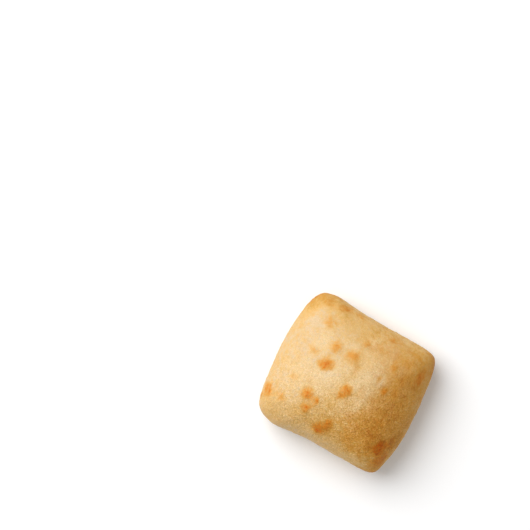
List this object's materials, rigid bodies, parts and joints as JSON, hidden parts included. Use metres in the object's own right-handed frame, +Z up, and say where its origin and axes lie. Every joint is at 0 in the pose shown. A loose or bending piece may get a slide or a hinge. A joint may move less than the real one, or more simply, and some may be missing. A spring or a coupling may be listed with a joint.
{
  "type": "ciabatta roll",
  "caption": "Small square ciabatta roll, domed like a pillow, with a thin pale golden crust, browned blisters and a dusting of flour.",
  "frame": {"origin": "on the flat base, under the middle of the roll's box", "axes": "+Z up, square to the flat base; +X across the strip of dough, from one rolled side to the other; +Y along the strip, from one cut side to the other"},
  "size_m": [0.0834, 0.0786, 0.0402],
  "materials": {
    "crust": "thin dry baked crust, matt, floury in the middle, golden at the shoulders and browned on the blisters and corners"
  },
  "bodies": {
    "root": {"ciabatta_roll": "crust"}
  },
  "joints": []
}
